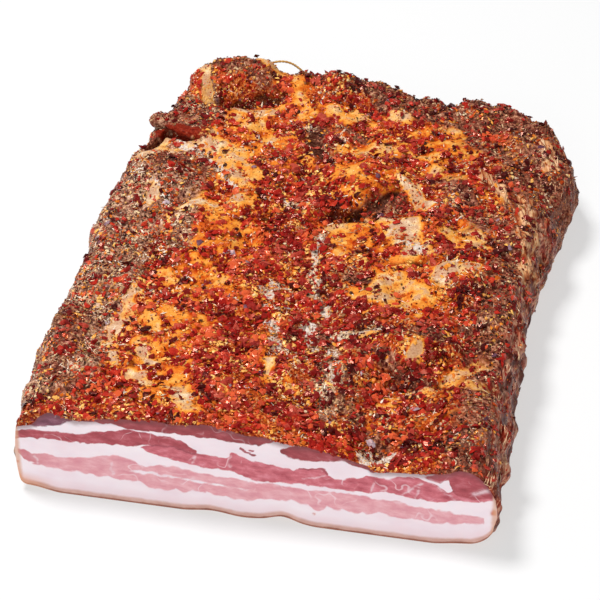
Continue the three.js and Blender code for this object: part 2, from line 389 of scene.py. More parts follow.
def read(items, field, kind, width):
    """One field of all of a mesh's items, in rows of this width."""
    values = np.empty(len(items) * width, kind)
    items.foreach_get(field, values)
    return values.reshape(-1, width)


def points_of(mesh):
    return read(mesh.vertices, "co", np.float32, 3).astype(float) / MM


def normals_of(mesh):
    return read(mesh.vertex_normals, "vector", np.float32, 3).astype(float)


def triangles_of(mesh):
    mesh.calc_loop_triangles()
    return read(mesh.loop_triangles, "vertices", np.int32, 3)


def set_attribute(mesh, name, values):
    mesh.attributes.new(name, "FLOAT", "POINT").data.foreach_set("value", np.asarray(values, np.float32))


# Where the top shows something other than its red rub: streaks, as x and y of both ends and a half width
STAINED_FAT = [
    (-54, 110, -50, 40, 17), (-50, 40, -46, -20, 22), (-50, -20, -52, -128, 19), (-52, 138, 16, 140, 13),
    (10, 108, 66, 108, 18), (6, 82, 30, 70, 14), (-62, 134, -42, 112, 15), (34, 30, 70, -18, 22),
    (-28, 112, -34, 84, 10), (94, -110, 84, -124, 7), (-60, 168, -34, 160, 12), (-4, -92, 4, -110, 8),
    (58, -104, 64, -116, 8), (48, 124, 78, 118, 12),
]
ORANGE_FAT = [
    (-66, 134, -40, 137, 10), (-60, 122, -46, 112, 8), (-34, 92, -12, 88, 6), (-34, 150, -22, 142, 8),
    (-24, 134, 14, 138, 8), (0, 102, 32, 108, 9), (32, 112, 56, 109, 9), (60, 96, 70, 92, 7),
    (8, 76, 30, 72, 9), (24, 30, 40, 40, 8), (12, 32, 20, 20, 7), (-36, 22, -30, -6, 8),
    (46, 126, 62, 122, 7), (-60, 6, -57, -6, 5), (-66, 16, -56, 4, 6), (-50, -26, -34, -36, 8),
    (76, 120, 70, 112, 6), (-56, -66, -38, -68, 8), (-36, -108, -40, -120, 7), (42, -32, 48, -38, 6),
    (72, -26, 68, -40, 5), (-40, 50, -32, 38, 8), (-72, 44, -54, 34, 8), (-42, 168, -36, 160, 6),
    (66, 0, 72, 8, 8), (-2, -92, 4, -106, 6), (14, -104, 18, -116, 4), (84, 80, 96, 73, 5),
    (40, 122, 52, 118, 5), (10, 62, 22, 60, 4), (104, -66, 88, -90, 8),
]
YELLOW_FAT = [
    (-78, 104, -56, 92, 6), (-58, 92, -46, 62, 6), (-70, -26, -64, -36, 4), (-68, -66, -62, -78, 5),
    (-42, -122, -28, -142, 6.5), (-56, 168, -40, 166, 3.5), (-91, 161, -83, 139, 3.5),
    (50, -16, 64, -24, 10), (26, 142, 34, 136, 4), (-66, 136, -46, 133, 5), (-28, 150, -26, 142, 4),
    (-10, 140, 10, 140, 4), (20, 114, 26, 108, 5), (4, 35, 44, 45, 5), (70, -67, 71, -73, 3.5),
    (10, 102, 24, 100, 4), (-36, 10, -34, 0, 4), (60, -99, 92, -91, 3), (104, -68, 90, -82, 5),
    (-44, -22, -38, -32, 3), (80, 48, 88, 28, 5), (40, 108, 52, 105, 3), (-64, 122, -50, 118, 6),
    (-48, 122, -40, 106, 5), (-66, 82, -54, 70, 5), (58, 93, 66, 88, 3.5), (100, -90, 108, -88, 4),
    (58, -108, 68, -107, 2.5), (-66, -88, -56, -94, 4), (-46, 78, -40, 68, 5), (10, 33, 20, 12, 7),
    (54, 136, 66, 133, 4), (72, 36, 80, 26, 5), (34, -28, 60, -32, 5), (43, -61, 50, -59, 3),
]
PALE_FAT = [
    (45, 36, 57, 14, 9), (76, 2, 76, -8, 6), (88, 6, 84, 0, 4), (42, 80, 58, 58, 4.5),
    (78, -92, 66, -100, 2.5), (-109, 76, -97, 98, 3), (-64, -98, -54, -106, 3), (-78, -46, -81, -92, 4),
    (-92, 46, -91, 32, 3), (-68, 98, -52, 70, 3), (-62, -116, -52, -126, 3.5), (-96, 88, -78, 94, 3),
    (-102, 82, -88, 91, 4), (-36, -130, -29, -140, 4), (-78, -102, -74, -110, 2.5), (2, -92, 0, -100, 3),
    (22, 43, 40, 48, 4.5), (-76, 30, -48, 46, 3.5), (-64, 136, -50, 133, 5), (-78, 98, -66, 88, 5),
]
MEMBRANE = [
    (-12, -22, -8, -30, 3.5), (-18, -28, -11, -36, 4), (-6, -28, 0, -30, 2), (-10, -46, -4, -48, 2.5),
    (4, 22, 8, -8, 3), (8, -10, 14, -28, 3.5), (-4, -62, 2, -82, 3.5), (28, -74, 33, -98, 5.5),
    (0, 120, 3, 110, 2), (-30, 130, -26, 122, 1.5), (-25, 124, -15, 121, 2.5), (-44, 108, -38, 102, 2.5),
    (-94, 52, -88, 44, 3), (58, -149, 68, -143, 4), (-22, 52, -14, 46, 3), (-88, 95, -65, 74, 5),
    (-65, 74, -48, 58, 3.5), (26, -63, 49, -55, 4), (10, -24, 20, -44, 5), (13, -58, 19, -74, 5),
    (50, 22, 60, 12, 5),
]
PEPPERED = [
    (-94, 172, -84, 146, 7), (-86, 64, -70, 70, 10), (26, -92, 38, -130, 5), (-90, 136, -66, 138, 9),
    (-104, 118, -76, 122, 9), (-76, 62, -66, 0, 9),
]
BROWNED = [
    (-16, 120, -8, 96, 9), (66, 84, 86, 52, 11), (50, -76, 60, -78, 6), (-72, 166, -56, 158, 9),
    (-50, 180, -10, 174, 6), (74, 128, 96, 118, 9), (-2, 122, 14, 118, 5), (-90, 168, -74, 166, 7),
    (20, 50, 40, 62, 6), (-94, 76, -74, 68, 13), (16, -58, 40, -96, 5), (84, -88, 66, -84, 5),
    (-112, 80, -106, 98, 4), (-102, -70, -98, -128, 9), (92, 54, 86, 40, 9), (58, -60, 78, -58, 8),
    (26, -14, 36, -18, 7), (-92, -132, -88, -142, 6), (92, -44, 108, -30, 7), (-106, 116, -84, 120, 7),
    (42, -116, 50, -126, 6), (58, -132, 64, -140, 5), (106, 130, 118, 86, 14),
]
# Where the rub is brightest
RICH = [(-32, 36, -26, -20, 14), (-26, -20, -18, -140, 22), (-60, -146, 60, -150, 6)]
# Bare fibres of muscle, and bare meat in the torn pocket, whose dark red is partly raw meat and partly
# painted shade under the tongue
FIBRED = [(84, 92, 107, 74, 6), (107, 74, 115, 40, 6), (115, 40, 116, 8, 3.5), (114, 130, 120, 112, 5)]
BARE_MEAT = [(-104, 106, -80, 105, 5)]
# Narrow folds of the crust: x and y of both ends, half width and rise, below 0 for a crease, which the
# crust's shader darkens as painted shade
FOLDS = [
    (-4, 43, 20, 51, 2.4, -3.2), (20, 51, 36, 63, 2.4, -3.2), (36, 63, 43, 68, 2.2, -1.8),
    (-2, 50, 34, 70, 4, 1.6), (40, -3, 62, 2, 1.9, -1.8), (62, 2, 80, 14, 1.9, -1.8),
    (60, -97, 84, -86, 2.4, -2.2), (84, -86, 91, -66, 2.4, -1.6), (42, 80, 60, 59, 2.4, 2.4),
    (-78, 104, -46, 60, 3, 1.8), (-74, 143, -46, 150, 2.6, -3), (6, 20, 12, -26, 2.2, -1.4),
    (26, -74, 36, -104, 2.2, -1.4), (-3, -60, 4, -86, 2, -1.2), (-110, 54, -84, 36, 2.6, -1.4),
    (-30, 128, -14, 120, 2, -1.4), (-18, 116, -8, 96, 5, -3), (60, 72, 84, 64, 2.4, -1.4),
    (-66, -118, -60, -60, 2.5, 1.2), (-26, -10, -8, -44, 3, -1.4), (-14, -80, -8, -120, 3, -1.2),
    (34, 112, 60, 96, 3, 1.4),
]
# How fat each kind of streak is at most, and how much lumps and grains change that
STAINED_LEVEL, ORANGE_LEVEL, YELLOW_LEVEL, PALE_LEVEL = 0.36, 0.48, 0.64, 0.86
FAT_ON_LUMPS, FAT_ON_GRAINS, FAT_GRAIN = 0.1, 0.16, 4
# A streak's border, in half widths
STREAK_BORDER = (1.5, 0.7)
# Bands along the sides and the rear: where each begins, and how softly
PEPPER_LEFT, BROWN_RIGHT, SIDE_RIGHT = -78.0, 90.0, 112.0
BAND_SOFTNESS, SIDE_SOFTNESS = 14.0, 7.0
# Where the pepper of the left side begins and ends on the top, and the height under which it goes all along
PEPPER_FRONT, PEPPER_REAR, PEPPER_WALL = (-156.0, -126.0), (150.0, 120.0), (40.0, 25.0)
# How brown the right band is (brown meat, and painted shade of the right side), where the rear one begins,
# and how much nearer over these x towards the right
BROWN_SHARE = 0.75
BROWN_REAR, BROWN_REAR_RIGHT, BROWN_REAR_TURN = 164.0, 28.0, (-10, 30)
# How much of the right side's bare muscle the rub hides towards the rear, and where
SIDE_HIDDEN, SIDE_REAR = 0.8, (55, 85)
# How noise shakes the borders of all these: the size of its lumps and its reach
ZONE_WAVES = [(13, 2), (4, 1.5)]
# Lumps of the top, and the strands of muscle along its right side
SWELL_SIZE = 11.0
STRAND_SIZE = 3.2
STRAND_STRETCH = np.array([0.7, 0.12, 1])
STRAND_SLANT = 0.3
STRAND_CONTRAST = 0.6
# Clumps of flakes, and patches of flakes of like colour
CLUMP_SIZE = 7.0
PATCH_SIZE = 8.0
RED_CLUMPS = 18


def strongest(streaks, a, b):
    """How close points are to the nearest of some streaks: 1 on its line, falling smoothly to 0."""
    return np.max([ridge(line, width, a, b) for *line, width in streaks], axis=0)


def islands(streaks, a, b):
    """1 inside some streaks and 0 outside them, with a narrow border."""
    inside = [smoothstep(*STREAK_BORDER, to_line(line, a, b) / width) for *line, width in streaks]
    return np.max(inside, axis=0)


def clumps(points, seed):
    """Noise for one kind of spice: above 0 where it gathers."""
    return noise(points, CLUMP_SIZE, seed) + 0.5 * noise(points, CLUMP_SIZE / 2, seed + 1)


def zones(points):
    """How much each look of the crust shows at these points, from 0 to 1, with ragged borders."""
    x = shaken(points[:, 0], points, ZONE_WAVES, 11)
    y = shaken(points[:, 1], points, ZONE_WAVES, 13)
    z = points[:, 2]
    ends = smoothstep(*PEPPER_FRONT, y) * smoothstep(*PEPPER_REAR, y)
    left = edge(PEPPER_LEFT, -BAND_SOFTNESS, x) * np.maximum(ends, smoothstep(*PEPPER_WALL, z))
    # The right band's brown share is partly brown meat and partly painted shade of the right side
    right = BROWN_SHARE * edge(BROWN_RIGHT, BAND_SOFTNESS, x)
    rear = edge(BROWN_REAR - BROWN_REAR_RIGHT * smoothstep(*BROWN_REAR_TURN, x), BAND_SOFTNESS, y)
    fibred = islands(FIBRED, x, y)
    side = edge(SIDE_RIGHT, SIDE_SOFTNESS, x) * (1 - SIDE_HIDDEN * smoothstep(*SIDE_REAR, y))
    side = np.maximum(side, fibred)
    fat = np.maximum.reduce([
        STAINED_LEVEL * strongest(STAINED_FAT, x, y),
        ORANGE_LEVEL * strongest(ORANGE_FAT, x, y),
        YELLOW_LEVEL * islands(YELLOW_FAT, x, y),
        PALE_LEVEL * islands(PALE_FAT, x, y),
    ])
    swell = noise(points, SWELL_SIZE, 15)
    strand = noise(np.stack([x + STRAND_SLANT * y, y, z], 1) * STRAND_STRETCH, STRAND_SIZE, 17)
    return {
        "fat": fat + FAT_ON_LUMPS * swell + FAT_ON_GRAINS * noise(points, FAT_GRAIN, 16),
        "clump": clumps(points, RED_CLUMPS),
        "swell": swell,
        "strand": np.clip(0.5 + STRAND_CONTRAST * strand, 0, 1) * side,
        "rich": strongest(RICH, x, y),
        "membrane": strongest(MEMBRANE, x, y),
        "pepper": np.maximum(strongest(PEPPERED, x, y), left),
        "brown": np.maximum.reduce([strongest(BROWNED, x, y), right, rear]),
        "fold": sum(rise * ridge(line, width, x, y) for *line, width, rise in FOLDS),
        "bare": strongest(BARE_MEAT, x, y),
        "side": side,
        "fibred": fibred,
    }


# The cut face's lean bands: (lower edge, upper edge), each as (x, z) knots
LEAN_LOW = (
    [(-112, 23), (-108, 19), (-103, 17.5), (-95, 16), (-85, 16), (-70, 15.5), (-58, 14.5), (-52, 15.5),
     (-43, 12), (-33, 13), (-29, 12), (-20, 14), (-8, 12.5), (5, 12.5), (10, 14.5), (28, 15.5), (38, 12),
     (42, 14), (62, 14), (70, 15), (75, 13.5), (85, 14.5), (92, 13.5), (105, 15), (117, 17)],
    [(-112, 24.8), (-105, 24.5), (-103, 23.5), (-99, 24.5), (-90, 23.5), (-80, 25), (-70, 27.5), (-62, 29),
     (-55, 28), (-48, 24.5), (-40, 26.5), (-20, 25.5), (0, 24), (17, 24.5), (40, 23.5), (50, 24),
     (75, 23.5), (80, 22), (95, 21.5), (112, 21), (117, 20)],
)
LEAN_LEFT = (
    [(-113, 31), (-105, 33), (-90, 34), (-70, 35), (-58, 36.5), (-52, 36.5), (-45, 38.3), (-40, 39.2),
     (-35.5, 39.5), (-29.6, 38.3), (-22, 37.2)],
    [(-113, 36), (-103, 39), (-90, 39.5), (-78, 41), (-65, 44.5), (-55, 47), (-50, 47), (-40, 45.5),
     (-31, 44.5), (-25, 41), (-22, 39.2)],
)
LEAN_MAIN = (
    [(-49, 35), (-45, 34), (-40, 32), (-30, 30.5), (-15, 29), (-5, 28.5), (5, 26), (20, 26), (28, 27),
     (42, 26), (62, 26.5), (70, 29), (80, 27), (97, 26.5), (102, 28.5), (115, 30), (120, 31.5)],
    [(-49, 35.5), (-43, 38.8), (-35.5, 39.6), (-29.6, 38.4), (-22, 37), (-10, 37), (-6, 38), (-5, 40.5),
     (3, 38), (18, 35.5), (24, 35), (36, 37.5), (40, 38), (44, 34), (47, 32.5), (53, 34.5), (58, 35),
     (60, 37), (70, 37), (80, 39.5), (85, 39.5), (90, 38.5), (95, 36), (99, 33), (102, 36), (108, 40),
     (120, 40)],
)
LEAN_RIGHT = (
    [(87, 41.3), (95, 39), (100, 40), (101, 35), (104, 32), (112, 31), (121, 33)],
    [(87, 41.5), (92, 43.5), (98, 47.5), (108, 50), (121, 50)],
)
LEAN_TOP = (
    [(-80, 47.8), (-60, 48.5), (-53, 47.5), (-28, 47.5), (0, 47.5), (8, 47), (12, 48.5), (17, 52)],
    [(-80, 48), (-60, 60), (10, 60), (17, 52.2)],
)
LEAN_CREST = (
    [(19, 45.5), (22, 43.5), (27, 41.5), (38, 42.5), (50, 44.5), (52, 43), (62, 40.5), (67, 41.5)],
    [(19, 45.7), (24, 49), (30, 52), (60, 52), (67, 41.7)],
)
SLIVERS = (
    [(69, 41), (73, 41.3), (79, 41.8)],
    [(69, 41.2), (73, 42.1), (79, 42)],
)
# A streak of fat in the lowest band, and the purple edge, given the same way
FAT_STREAK = (
    [(-58, 20), (-50, 19.7), (-42, 19.6), (-15, 18.8), (8, 17.8)],
    [(-58, 20.4), (-50, 21.8), (-42, 21.2), (-15, 19.9), (8, 18.2)],
)
PURPLE_SKIN = (
    [(-105, 41), (-98, 41.5), (-90, 44), (-82, 47.5)],
    [(-105, 42), (-99, 48), (-92, 52), (-82, 52)],
)
# Veins of fat, dark seams and spots of spice, as streaks in x and z
VEINS = [
    (-5.3, 36.5, -5.7, 28.2, 0.5), (-22.4, 35.5, -22.9, 31, 0.5), (-18.9, 38, -25.4, 32.5, 0.4),
    (64.1, 35.2, 62.9, 26.8, 0.5), (29.6, 29.9, 42.1, 33.9, 0.35), (86.8, 37.3, 77.6, 28.1, 0.5),
    (85.1, 33.8, 83.3, 27.8, 0.5), (89, 39.5, 102.8, 28.7, 0.6), (112, 34.5, 117.5, 37.5, 1.3),
    (-102.6, 21.5, -101.7, 17.4, 0.5), (-64, 23.8, -63.8, 16.9, 0.5), (48, 44.2, 60, 44.4, 0.7),
    (91, 39, 99.5, 35.2, 1.8),
]
SEAMS = [
    (-43.3, 38.9, -35.5, 39.6, 0.5), (-35.5, 39.6, -22, 36.7, 0.5), (-0.8, 43.5, 7.4, 40.5, 0.7),
    (4.1, 44.3, 6, 43.7, 0.6), (27.6, 35.3, 39.2, 37.6, 0.5), (39.2, 37.5, 43, 34.7, 0.5),
]
SPECKS = [(35.2, 8.2, 35.4, 7.8, 0.5), (-112.2, 16.8, -111.8, 15.8, 0.7), (121.2, 25, 121.4, 23.6, 1.1)]
# Where the crust ends above the cut, as (x, z) knots
CRUST_EDGE = [
    (-112, 39), (-106, 40.8), (-102.3, 42.5), (-98.6, 47.5), (-93, 50.9), (-88, 49.5), (-81.6, 47.9),
    (-75.8, 48.6), (-69.5, 50.5), (-59, 52.1), (-42, 54), (-32, 53.1), (-16.5, 55.8), (-9.7, 55),
    (2.3, 52.4), (12, 52.5), (20.5, 50.2), (41, 50), (50.6, 46.9), (59.6, 44.5), (64, 40.3), (71.6, 41),
    (88.5, 42.8), (99.3, 45), (104, 47.5), (111, 46.4), (116.8, 41.2), (120.4, 35), (122, 31.5),
]
SCALLOP_DEPTH, SCALLOP_WIDTH, SCALLOPS_BELOW = 1.1, 8.3, 17.0
# How noise shakes the bands along x and z, as (size, reach), and breaks up the streak of fat
CUT_WAVES_X, CUT_WAVES_Z = [(5, 0.8), (2, 0.4)], [(4, 0.6), (1.8, 0.3)]
STREAK_GAPS, STREAK_GAP_SIZE = 0.5, 6
FAR_OUTSIDE = -9.0


def depth_in(band, x, z):
    """How far inside a band of the cut face points are: below 0 outside it."""
    lower, upper = band
    depth = np.minimum(through(upper, x) - z, z - through(lower, x))
    within = (x > lower[0][0]) & (x < lower[-1][0])
    return np.where(within, depth, FAR_OUTSIDE)


def paint_cut(mesh, points):
    """Depths inside the cut face's bands, and distances from its edges, for the cut's shader."""
    left = points[:, 0] - through(LEFT_SIDE, points[:, 1])
    right = through(RIGHT_SIDE, points[:, 1]) - points[:, 0]
    drop = rounded_drop(RIND_ROUND, left, right, np.full(len(points), np.inf))
    over_rind = points[:, 2] - rind_height(points[:, 0], np.full(len(points), CUT_Y)) - drop
    x = shaken(points[:, 0], points, CUT_WAVES_X, 31)
    z = shaken(points[:, 2], points, CUT_WAVES_Z, 33)
    scallops = SCALLOP_DEPTH * np.abs(np.sin(np.pi * x / SCALLOP_WIDTH))
    streak = depth_in(FAT_STREAK, x, z) - STREAK_GAPS * np.maximum(noise(points, STREAK_GAP_SIZE, 35), 0)
    low = np.minimum(depth_in(LEAN_LOW, x, z + scallops * (z < SCALLOPS_BELOW)), -streak)
    side = [depth_in(band, x, z) for band in (LEAN_LEFT, LEAN_RIGHT)]
    top = [depth_in(band, x, z) for band in (LEAN_TOP, LEAN_CREST, SLIVERS)]
    looks = {
        "lean_low": low,
        "lean_side": np.max(side, axis=0),
        "lean_main": depth_in(LEAN_MAIN, x, z),
        "lean_top": np.max(top, axis=0),
        "purple": depth_in(PURPLE_SKIN, x, z),
        "over_rind": over_rind,
        "from_side": np.minimum(left, right),
        "under_crust": through(CRUST_EDGE, points[:, 0]) - points[:, 2],
        "vein": strongest(VEINS, x, z),
        "seam": strongest(SEAMS, x, z),
        "speck": strongest(SPECKS, x, z),
    }
    for name, value in looks.items():
        set_attribute(mesh, name, np.clip(value, FAR_OUTSIDE, -FAR_OUTSIDE))


# The fine relief of the crust: how high its lumps are, its small lumps (and their size) and its strands, and
# how far these begin below the rest
SWELL_RISE = 1.7
LUMP_RISE, LUMP_SIZE = 0.9, 4.0
STRAND_RISE, STRAND_SUNK = 1.2, 0.4
# How much smoother fat is, and where relief begins from the cut and from the floor
SMOOTHER_FAT = 0.8
RELIEF_FROM_CUT, RELIEF_FROM_FLOOR = 4.0, (1, 6)
# How far forward a face looks where it is cut, how far down where it is rind, and the rind's greatest height
FACING_CUT, FACING_FLOOR = -0.9, -0.5
RIND_BELOW = 12


def meat():
    """The slab with its pocket and tongue, its crust roughened, and painted for its three looks."""
    points, faces = slab_mesh()
    body = mesh_object("meat", points, faces, True)
    hollows = [(ellipsoid(f"hollow_{i}", *pocket), "DIFFERENCE") for i, pocket in enumerate(POCKETS)]
    joined_and_cut(body, [*hollows, (tongue(), "UNION")])
    mesh = body.data
    points, normals = points_of(mesh), normals_of(mesh)
    look = zones(points)
    rough = smoothstep(0, RELIEF_FROM_CUT, points[:, 1] - CUT_Y)
    rough *= smoothstep(*RELIEF_FROM_FLOOR, points[:, 2])
    small = LUMP_RISE * noise(points, LUMP_SIZE, 21) * (1 - SMOOTHER_FAT * np.clip(look["fat"], 0, 1))
    strands = STRAND_RISE * (look["strand"] - STRAND_SUNK * look["side"])
    height = SWELL_RISE * look["swell"] + small + strands + look["fold"]
    points += normals * (rough * height)[:, None]
    mesh.vertices.foreach_set("co", (points * MM).astype(np.float32).ravel())
    for name, value in look.items():
        set_attribute(mesh, name, value)
    paint_cut(mesh, points)
    corners = points[triangles_of(mesh)]
    facing = np.cross(corners[:, 1] - corners[:, 0], corners[:, 2] - corners[:, 0])
    facing /= np.linalg.norm(facing, axis=1)[:, None] + 1e-12
    middle = corners.mean(axis=1)
    cut = (corners[:, :, 1].max(axis=1) < AT_CUT) & (facing[:, 1] < FACING_CUT)
    cut &= middle[:, 2] < through(CRUST_EDGE, middle[:, 0])
    under = (facing[:, 2] < FACING_FLOOR) & (middle[:, 2] < RIND_BELOW)
    slot = np.where(cut, 1, np.where(under, 2, 0))
    mesh.materials.clear()
    for material in (crust_material(), cut_material(), rind_material()):
        mesh.materials.append(material)
    mesh.polygons.foreach_set("material_index", slot.astype(np.int32))
    mesh.polygons.foreach_set("use_smooth", np.ones(len(slot), bool))
    sharpen_cut(mesh, cut)
    mesh.update()
    return body


def sharpen_cut(mesh, cut):
    """Marks the edges between the cut face and the crust as sharp."""
    edges = read(mesh.loops, "edge_index", np.int32, 1).ravel()
    at_cut = np.bincount(edges, np.repeat(cut, 3), len(mesh.edges))
    mesh.attributes.new("sharp_edge", "BOOLEAN", "EDGE").data.foreach_set("value", at_cut == 1)


def linear(hex_colour):
    """A colour of the screen, as #rrggbb, in the shader's linear light."""
    parts = [int(hex_colour[i:i + 2], 16) / 255 for i in (1, 3, 5)]
    return (*[c / 12.92 if c <= 0.04045 else ((c + 0.055) / 1.055) ** 2.4 for c in parts], 1.0)


class Shader:
    """A material with a Principled surface, and short ways to add nodes to it."""

    def __init__(self, name, **surface):
        self.material = bpy.data.materials.new(name)
        self.material.use_nodes = True
        self.tree = self.material.node_tree
        self.surface = self.tree.nodes["Principled BSDF"]
        self.colour = None
        for socket, value in surface.items():
            self.surface.inputs[socket.replace("_", " ")].default_value = value

    def add(self, kind, inputs=None, **settings):
        node = self.tree.nodes.new("ShaderNode" + kind)
        for key, value in settings.items():
            setattr(node, key, value)
        for key, value in (inputs or {}).items():
            self.put(node.inputs[key], value)
        return node

    def put(self, socket, value):
        if isinstance(value, bpy.types.NodeSocket):
            self.tree.links.new(value, socket)
        else:
            socket.default_value = value

    def place(self, stretch=(1, 1, 1), turn=0.0):
        where = self.add("TexCoord").outputs["Object"]
        turned = self.add("Mapping", {"Vector": where, "Rotation": (0, 0, turn)}).outputs[0]
        return self.add("Mapping", {"Vector": turned, "Scale": stretch}).outputs[0]

    def noise(self, size, detail=3.0, stretch=(1, 1, 1), roughness=0.55, turn=0.0):
        """Noise of 0 to 1 whose lumps are about this many millimetres."""
        where = self.place(stretch, turn)
        sockets = {"Vector": where, "Scale": 1 / (size * MM), "Detail": detail, "Roughness": roughness}
        return self.add("TexNoise", sockets).outputs["Fac"]

    def cells(self, size):
        """The distance from the middle of the nearest of some cells, which are this many millimetres."""
        return self.add("TexVoronoi", {"Vector": self.place(), "Scale": 1 / (size * MM)}).outputs["Distance"]

    def attribute(self, name):
        return self.add("Attribute", attribute_name=name).outputs["Fac"]

    def math(self, operation, a, b=0.0, c=0.0):
        return self.add("Math", {0: a, 1: b, 2: c}, operation=operation).outputs[0]

    def times(self, a, b):
        return self.math("MULTIPLY", a, b)

    def plus(self, value, other, share):
        """A value, and a share of another one."""
        return self.math("MULTIPLY_ADD", other, share, value)

    def step(self, value, low, high):
        """0 below low, 1 above high, and smooth between."""
        sockets = {"Value": value, "From Min": low, "From Max": high}
        return self.add("MapRange", sockets, interpolation_type="SMOOTHSTEP").outputs[0]

    def ramp(self, value, *colours, low=0.25, high=0.75):
        """Colours spread evenly over values from low to high. Noise mostly lies within the usual ones."""
        node = self.add("ValToRGB", {"Fac": value})
        stops = node.color_ramp.elements
        while len(stops) < len(colours):
            stops.new(0.5)
        for i, colour in enumerate(colours):
            stops[i].position = low + (high - low) * i / (len(colours) - 1)
            stops[i].color = linear(colour)
        return node.outputs["Color"]

    def mix(self, share, under, over, blend="MIX"):
        node = self.add("Mix", data_type="RGBA", blend_type=blend, clamp_factor=True)
        for socket, value in ((node.inputs[0], share), (node.inputs[6], under), (node.inputs[7], over)):
            self.put(socket, value)
        return node.outputs[2]

    def cover(self, share, over, most=None, blend="MIX"):
        """Lays a colour, or another node's, over the colour so far by a share, or by the most of that."""
        share = share if most is None else self.times(share, most)
        self.colour = self.mix(share, self.colour, linear(over) if isinstance(over, str) else over, blend)

    def finish(self, roughness=None, height=None, depth=0.3, strength=0.5):
        """Links the colour, the roughness and a bump of this depth in millimetres."""
        self.put(self.surface.inputs["Base Color"], self.colour)
        if roughness is not None:
            self.put(self.surface.inputs["Roughness"], roughness)
        if height is not None:
            bump = self.add("Bump", {"Height": height, "Distance": depth * MM, "Strength": strength})
            self.put(self.surface.inputs["Normal"], bump.outputs[0])
        return self.material


# Oil stained by the rub tints what the crust mirrors
WARM_GLOSS = (1.0, 0.48, 0.34, 1.0)
# The crust's colours from stained meat to clean fat
FAT_COLOURS = ("#6c1508", "#9e3010", "#c24a18", "#da6c1e", "#e89638", "#eeb158", "#edc88a", "#e8d4b2")
PEPPER_COLOURS = ("#2a120e", "#562e23", "#905e4a", "#cc9e80", "#ead0b0")
BROWN_COLOURS = ("#240b08", "#4c2018", "#804432", "#b47a5e", "#dab290")


def crust_material():
    """Meat and fat that the rub has stained, under its loose flakes, with painted shade in creases, among
    clumps of flakes, under the tongue and on the right side.
    """
    s = Shader("crust", Specular_IOR_Level=0.06, Specular_Tint=WARM_GLOSS)
    fine, middling, other = s.noise(1.3, 3), s.noise(4, 5, roughness=0.68), s.noise(5.5, 2)
    ragged = s.math("SUBTRACT", middling, 0.5)
    fat = s.plus(s.attribute("fat"), ragged, 0.5)
    s.colour = s.ramp(fat, *FAT_COLOURS, low=-0.1, high=0.95)
    stain = s.times(s.step(other, 0.45, 0.75), s.step(fat, 0.66, 0.42))
    s.cover(stain, s.ramp(fine, "#a83a14", "#d8702a", "#f0a860"), blend="MULTIPLY")
    cloudy = s.times(s.step(s.noise(7, 2), 0.36, 0.56), s.step(fat, 0.6, 0.76))
    s.cover(cloudy, "#c29272", 0.75)
    dusty = s.ramp(s.noise(0.9, 3, roughness=0.7), "#8a4a30", "#d8a890", "#ffffff", "#ffffff")
    s.cover(0.5, dusty, blend="MULTIPLY")
    loose = s.ramp(s.noise(1.5, 4), "#200402", "#641408", "#a83c18", "#da8440", "#f0bc84", low=0.3, high=0.7)
    s.cover(s.step(fat, 0.38, 0.12), loose, 0.8)
    # Painted shade among clumps of flakes: the paste between them goes dark, less so where the rub is
    # richest
    shade_among_clumps = s.times(s.step(s.attribute("clump"), -0.1, 0.6), s.step(fat, 0.45, 0.2))
    shade_among_clumps = s.times(shade_among_clumps, s.plus(0.9, s.attribute("rich"), -0.5))
    s.cover(shade_among_clumps, s.ramp(fine, "#1e0302", "#440a05", "#781c0c"))

    def lay(zone, low, high, *colours):
        share = s.step(s.plus(s.attribute(zone), ragged, 1.8), low, high)
        s.cover(share, s.ramp(fine, *colours))

    rubbed = s.step(fat, 0.75, 0.45)
    patchy = s.times(s.step(s.noise(13, 3), 0.48, 0.6), 0.7)
    for zone, colours in (("pepper", PEPPER_COLOURS), ("brown", BROWN_COLOURS)):
        share = s.step(s.plus(s.attribute(zone), ragged, 0.7), 0.4, 0.8)
        mottled = s.ramp(s.noise(2.6, 5, roughness=0.72), *colours, low=0.32, high=0.68)
        mottled = s.mix(patchy, mottled, s.ramp(fine, *colours[:4]))
        s.cover(share, mottled, rubbed)
    lay("membrane", 0.62, 0.82, "#987464", "#bea696", "#e2d5c8", "#beaeb2")
    # Painted shade in creases: the paste goes nearly black where folds sink deepest
    deep = s.step(s.math("ADD", s.attribute("fold"), ragged), -0.8, -2.2)
    s.cover(deep, s.ramp(fine, "#1c0805", "#34130b", "#522818"), 0.85)
    # Bare meat under the tongue's edge: dark red, partly raw meat and partly painted shade under the tongue
    lay("bare", 0.4, 0.7, "#4d0d07", "#6f1a0f", "#872a18", "#9c3c26")
    along = s.noise(3, 2, stretch=(1, 0.05, 1), turn=-math.atan(STRAND_SLANT))
    # The wall's fibre colours are kept darker, partly as painted shade of the right side
    fibres = s.ramp(along, "#380c07", "#761e11", "#aa543c", "#d39e80", "#863020", low=0.32, high=0.68)
    pale = s.ramp(along, "#641a0d", "#a04e2c", "#ce8e5c", "#e6ba8a", "#a05434", low=0.32, high=0.68)
    fibres = s.mix(s.times(s.step(s.noise(11, 3), 0.46, 0.6), 0.85), fibres, linear("#4c1a14"))
    fibres = s.mix(s.times(s.attribute("fibred"), s.step(middling, 0.3, 0.5)), fibres, pale)
    s.cover(s.step(s.math("ADD", s.attribute("side"), ragged), 0.4, 0.7), fibres)
    specks = s.times(s.step(s.cells(2.6), 0.2, 0.1), s.step(other, 0.5, 0.62))
    s.cover(specks, "#4a1a0c", 0.8)
    return s.finish(s.plus(0.18, middling, 0.35), fine, 0.5, 0.5)


